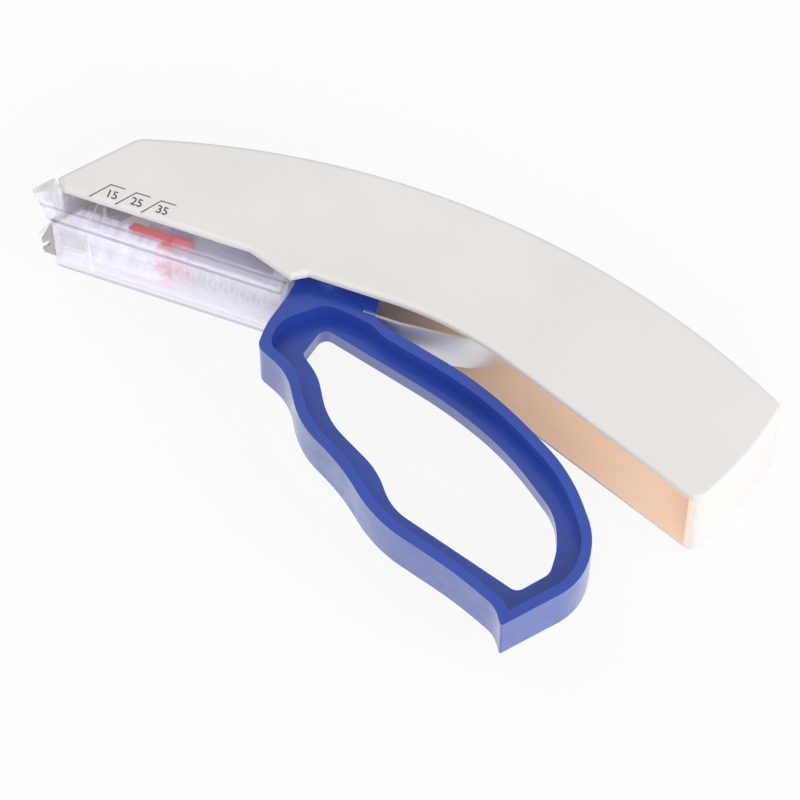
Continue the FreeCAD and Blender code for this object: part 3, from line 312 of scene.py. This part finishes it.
steel, tree, surface, where = finish("stamped_steel")
rolled = grain(tree, where, 300.0, 6.0, ROLLING)
tree.links.new(tone(tree, rolled, *STEEL), surface.inputs["Base Color"])
tree.links.new(tone(tree, rolled, *STEEL_ROUGH), surface.inputs["Roughness"])
surface.inputs["Metallic"].default_value = 1.0
relief(tree, surface, rolled, strength=0.1, depth=ROLLED_DEPTH)
paint(steel, "nose_guide_plate", "anvil", "driver_blade", "pivot_pin", "lever_pin")


# Staples
# Drawn stainless wire, bright, with slight differences from staple to staple. The first waits in
# the track, and each of the others is a copy out of the imported stack.
TRACK_ANGLE = math.radians(52.0)
STAPLE_PITCH = 0.56 * MM
WIRE_THICK = 0.42 * MM
WIRE_PLAY = 0.01 * MM
WIRE = (0.62, 0.61, 0.64), (0.92, 0.91, 0.93)
PAINTED_WIRE_LIGHT, PAINTED_WIRE_GLOW = ((0.50, 0.48, 0.54), (0.95, 0.93, 1.0)), 0.22
ALONG_STACK = (1, 0.1, 0.1)


def build(mesh, name, material):
    """Object with one material out of a finished mesh."""
    data = bpy.data.meshes.new(name)
    mesh.to_mesh(data)
    mesh.free()
    data.materials.append(material)
    piece = bpy.data.objects.new(name, data)
    bpy.context.collection.objects.link(piece)
    return piece


wire, tree, surface, where = finish("staple_wire")
shade = grain(tree, where, 900.0, 2.0, ALONG_STACK)
tree.links.new(tone(tree, shade, *WIRE), surface.inputs["Base Color"])
surface.inputs["Metallic"].default_value = 0.6
surface.inputs["Roughness"].default_value = 0.28
# Painted light: a faint emission in the wire's own tones brightens the staples that lie in the
# shade of the shell and clear walls.
tree.links.new(tone(tree, shade, *PAINTED_WIRE_LIGHT), surface.inputs["Emission Color"])
surface.inputs["Emission Strength"].default_value = PAINTED_WIRE_GLOW
paint(wire, "leading_staple")

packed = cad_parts["staple_stack"]
stack = bmesh.new()
stack.from_mesh(packed.data)
stack.transform(packed.matrix_world)
across_staples = Vector((math.sin(TRACK_ANGLE), -math.cos(TRACK_ANGLE), 0))
reach = [across_staples.dot(corner.co) for corner in stack.verts]
nearest, farthest = min(reach), max(reach) - WIRE_THICK
last = round((farthest - nearest) / (STAPLE_PITCH * math.sin(TRACK_ANGLE)))
for index in range(last + 1):
    front = nearest + (farthest - nearest) * index / last
    mesh = stack.copy()
    others = [corner for corner in mesh.verts
              if not -WIRE_PLAY < across_staples.dot(corner.co) - front < WIRE_THICK + WIRE_PLAY]
    bmesh.ops.delete(mesh, geom=others, context="VERTS")
    staple = build(mesh, f"staple_{index + 2}", wire)
    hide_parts("staple_stack")
    # Place on a smoothly rising blend that gives the staple index / last; no blend in this script
    # uses it.
    share = 0.5 - math.sin(math.asin(1 - 2 * index / last) / 3)
    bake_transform(staple)
stack.free()


# Follower
# Moulded red slider behind the staples, which runs on the clear core. Its flags show through the
# clear side and point at the scale.
RED = (0.72, 0.035, 0.05), (0.82, 0.05, 0.065)

red, tree, surface, where = finish("red_plastic")
tree.links.new(tone(tree, grain(tree, where, 200.0), *RED), surface.inputs["Base Color"])
surface.inputs["Roughness"].default_value = 0.35
relief(tree, surface, grain(tree, where, 1500.0, 2.0), strength=0.05, depth=0.03 * MM)
paint(red, "staple_follower")


# Return leaf
# Wide strip of rolled spring steel. It leaves a slot in the trigger, lies along the mouth of the
# body and bends up to the ceiling.
LEAF_THICK = 0.5 * MM
LEAF_HALF = 6.5 * MM
LEAF_ROOT = Vector((-7.0, 13.4)) * MM
LEAF_KNEE = Vector((1.0, 13.4)) * MM
LEAF_BEND = Vector((22.0, 15.2)) * MM
LEAF_TIP = Vector((38.0, 32.85)) * MM
BEND_RADIUS = 30.0 * MM
BEND_STEPS = 18
LEAF_STEP = 1.2 * MM
SPRING = (0.86, 0.865, 0.88), (0.91, 0.915, 0.93)
SPRING_ROUGH = 0.30, 0.38
SPRING_ROLLING = (0.15, 0.15, 6)


def run_on(mesh, strip, start, end):
    """Draws the end edge of the strip straight on, and returns the new one."""
    steps = math.ceil((end - start).length / LEAF_STEP)
    return bmesh.ops.spin(mesh, geom=strip, cent=(0, 0, 0), axis=(0, 0, 1), angle=0,
                          dvec=(*((end - start) / steps), 0), steps=steps)["geom_last"]


rise = LEAF_BEND - LEAF_KNEE
climb = LEAF_TIP - LEAF_BEND
turn = -rise.angle_signed(climb)
arc_start = LEAF_BEND - rise.normalized() * BEND_RADIUS * math.tan(turn / 2)
arc_end = LEAF_BEND + climb.normalized() * BEND_RADIUS * math.tan(turn / 2)
arc_centre = arc_start + Vector((-rise.y, rise.x)).normalized() * BEND_RADIUS
mesh = bmesh.new()
ends = [mesh.verts.new((*LEAF_ROOT, MIDDLE + side * LEAF_HALF)) for side in (-1, 1)]
strip = run_on(mesh, [*ends, mesh.edges.new(ends)], LEAF_ROOT, LEAF_KNEE)
strip = run_on(mesh, strip, LEAF_KNEE, arc_start)
strip = bmesh.ops.spin(mesh, geom=strip, cent=(*arc_centre, 0), axis=(0, 0, 1), angle=turn,
                       steps=BEND_STEPS)["geom_last"]
run_on(mesh, strip, arc_end, LEAF_TIP)
bmesh.ops.recalc_face_normals(mesh, faces=mesh.faces)
if mesh.faces[:][0].normal.y > 0:
    bmesh.ops.reverse_faces(mesh, faces=mesh.faces)
bmesh.ops.solidify(mesh, geom=mesh.faces[:], thickness=LEAF_THICK)
bmesh.ops.recalc_face_normals(mesh, faces=mesh.faces)

spring_steel, tree, surface, where = finish("spring_steel")
rolled = grain(tree, where, 260.0, 5.0, SPRING_ROLLING)
tree.links.new(tone(tree, rolled, *SPRING), surface.inputs["Base Color"])
tree.links.new(tone(tree, rolled, *SPRING_ROUGH), surface.inputs["Roughness"])
surface.inputs["Metallic"].default_value = 0.65
relief(tree, surface, rolled, strength=0.03, depth=ROLLED_DEPTH)
leaf = build(mesh, "return_leaf", spring_steel)
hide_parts("return_spring")
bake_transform(leaf)


# Ejector
# Strip of the same rolled spring steel as the leaf, laid on the anvil. Its raised end pushes a
# closed staple off.
paint(spring_steel, "ejector_spring")


# Coil behind the follower
# Thin round spring wire, wound in open turns, in the hollow of the clear core. It pushes the
# follower.
COIL_WIRE = 0.2 * MM
COIL_RADIUS = 1.3 * MM
COIL_Y = 13.25 * MM
COIL_TURNS = 9
TURN_STEPS = 16
WIRE_SIDES = 6

low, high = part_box("follower_spring")
steps = COIL_TURNS * TURN_STEPS
advance = (high.x - low.x - 2 * COIL_WIRE) / steps
mesh = bmesh.new()
ring = bmesh.ops.create_circle(
    mesh, cap_ends=True, segments=WIRE_SIDES, radius=COIL_WIRE,
    matrix=Matrix.Translation((low.x + COIL_WIRE, COIL_Y + COIL_RADIUS, MIDDLE)))["verts"]
bmesh.ops.spin(mesh, geom=ring[0].link_faces[:], cent=(low.x, COIL_Y, MIDDLE), axis=(1, 0, 0),
               dvec=(advance, 0, 0), angle=math.tau * COIL_TURNS, steps=steps)
bmesh.ops.recalc_face_normals(mesh, faces=mesh.faces)
coil = build(mesh, "follower_coil", spring_steel)
coil.data.shade_smooth()
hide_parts("follower_spring")
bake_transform(coil)


# Printed scale
# Dark grey ink, pad-printed on the side face: three brackets, each with the number of staples
# that are left when the red flag stands at its foot.
PRINT_Z = 25.006 * MM
STROKE = 0.24 * MM
BRACKETS = (  # number, corners of its bracket and middle of the number, in millimetres
    ("15", ((-66.7, 16.5), (-63.55, 20.48), (-60.6, 20.5)), (-62.55, 18.35)),
    ("25", ((-61.1, 16.6), (-58.05, 20.48), (-55.1, 20.5)), (-57.2, 18.4)),
    ("35", ((-55.5, 16.65), (-52.65, 20.45), (-49.55, 20.5)), (-51.7, 18.45)),
)
NUMBER_SIZE = 2.55 * MM
NUMBER_BOLD = 0.035 * MM
INK = 0.05, 0.09

ink, tree, surface, where = finish("print")
tree.links.new(tone(tree, grain(tree, where, 1200.0), *INK), surface.inputs["Base Color"])
surface.inputs["Roughness"].default_value = 0.6
mesh = bmesh.new()
for number, corners, place in BRACKETS:
    for start, end in zip(corners, corners[1:]):
        start, end = Vector(start) * MM, Vector(end) * MM
        stroke = end - start
        bmesh.ops.create_grid(
            mesh, x_segments=1, y_segments=1, size=0.5,
            matrix=Matrix.Translation((*((start + end) / 2), PRINT_Z))
            @ Matrix.Rotation(math.atan2(stroke.y, stroke.x), 4, "Z")
            @ Matrix.Diagonal((stroke.length + STROKE, STROKE, 1, 1)))
    text = bpy.data.curves.new("scale_" + number, "FONT")
    text.body = number
    text.size = NUMBER_SIZE
    text.offset = NUMBER_BOLD
    text.align_x = text.align_y = "CENTER"
    typed = bpy.data.objects.new("typed_" + number, text)
    digits = bpy.data.objects.new("scale_" + number, bpy.data.meshes.new_from_object(typed))
    digits.data.transform(Matrix.Translation((place[0] * MM, place[1] * MM, PRINT_Z)))
    digits.data.materials.append(ink)
    bpy.data.objects.remove(typed)
    bpy.context.collection.objects.link(digits)
    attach(digits, "housing")
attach(build(mesh, "scale_brackets", ink), "housing")


# Floor
# Pale matte studio floor that shows white, with only a faint shadow of the stapler. It lies just
# under the side that the stapler rests on.
FLOOR_HALF = 3.0
FLOOR_DROP = 0.2 * MM
FLOOR_GREY = 0.86
FLOOR_WHITE_SHARE = 0.88

pale = bpy.data.materials.new("floor")
pale.use_nodes = True
tree = pale.node_tree
tree.nodes.clear()
output = tree.nodes.new("ShaderNodeOutputMaterial")
matte = tree.nodes.new("ShaderNodeBsdfDiffuse")
matte.inputs["Color"].default_value = (FLOOR_GREY, FLOOR_GREY, FLOOR_GREY, 1)
glow = tree.nodes.new("ShaderNodeEmission")
glow.inputs["Color"].default_value = (1, 1, 1, 1)
glow.inputs["Strength"].default_value = 1.0
path = tree.nodes.new("ShaderNodeLightPath")
seen = path.outputs["Is Camera Ray"]
for ray in ("Is Glossy Ray", "Is Transmission Ray"):
    seen = calc(tree, "MAXIMUM", seen, path.outputs[ray])
mix = tree.nodes.new("ShaderNodeMixShader")
tree.links.new(calc(tree, "MULTIPLY", seen, FLOOR_WHITE_SHARE), mix.inputs["Fac"])
tree.links.new(matte.outputs["BSDF"], mix.inputs[1])
tree.links.new(glow.outputs["Emission"], mix.inputs[2])
tree.links.new(mix.outputs["Shader"], output.inputs["Surface"])
mesh = bmesh.new()
bmesh.ops.create_grid(mesh, x_segments=1, y_segments=1, size=FLOOR_HALF)
floor = build(mesh, "floor", pale)
floor.location = (0, 0, -FLOOR_DROP)


# Light
# Even studio light from all round, with three square lamps. The ones in front and to the right
# are the brighter, and light the open underside and the trigger.
WORLD_LIGHT = 0.58
LAMP_AIM = Vector((0, 0, 0.01))
LAMPS = (  # name, place, size, watts, colour
    ("front", (0.25, -0.8, 0.65), 0.7, 4.2, (0.97, 0.98, 1.0)),
    ("right", (1.0, -0.1, 0.4), 0.6, 5.0, (1.0, 1.0, 1.0)),
    ("left", (-0.75, 0.45, 0.9), 0.6, 2.5, (1.0, 0.98, 0.95)),
)

world = bpy.data.worlds.new("studio")
world.use_nodes = True
bpy.context.scene.world = world
world.node_tree.nodes["Background"].inputs["Color"].default_value = (1, 1, 1, 1)
world.node_tree.nodes["Background"].inputs["Strength"].default_value = WORLD_LIGHT
for name, spot, size, power, tint in LAMPS:
    light = bpy.data.lights.new(name, "AREA")
    light.size = size
    light.energy = power
    light.color = tint
    lamp = bpy.data.objects.new(name, light)
    lamp.location = spot
    lamp.rotation_euler = (LAMP_AIM - Vector(spot)).to_track_quat("-Z", "Y").to_euler()
    bpy.context.collection.objects.link(lamp)


# Camera
# Long lens from above and in front of the open side, standing a little to the tail's side. Its
# angles are those that fit the outlines of the body's two side faces.
AZIMUTH = math.radians(19.9)
ELEVATION = math.radians(64.0)
FOCAL_PIXELS = 4500
PIXELS_PER_METRE = 4930.0
PICTURE = 800
SENSOR = 36.0
TARGET = Vector((-0.002, 0.022, 0.012))
BELOW_MIDDLE = 100

back = Vector((math.sin(AZIMUTH) * math.cos(ELEVATION), -math.cos(AZIMUTH) * math.cos(ELEVATION),
               math.sin(ELEVATION)))
up = back.cross(Vector((math.cos(AZIMUTH), math.sin(AZIMUTH), 0)))
lens = bpy.data.cameras.new("photo_view")
lens.sensor_width = SENSOR
lens.lens = SENSOR * FOCAL_PIXELS / PICTURE
lens.clip_start = 0.01
camera = bpy.data.objects.new("photo_view", lens)
camera.location = TARGET + (back * FOCAL_PIXELS - up * BELOW_MIDDLE) / PIXELS_PER_METRE
camera.rotation_euler = back.to_track_quat("Z", "Y").to_euler()
bpy.context.collection.objects.link(camera)
bpy.context.scene.camera = camera
bpy.context.scene.view_settings.view_transform = "Standard"
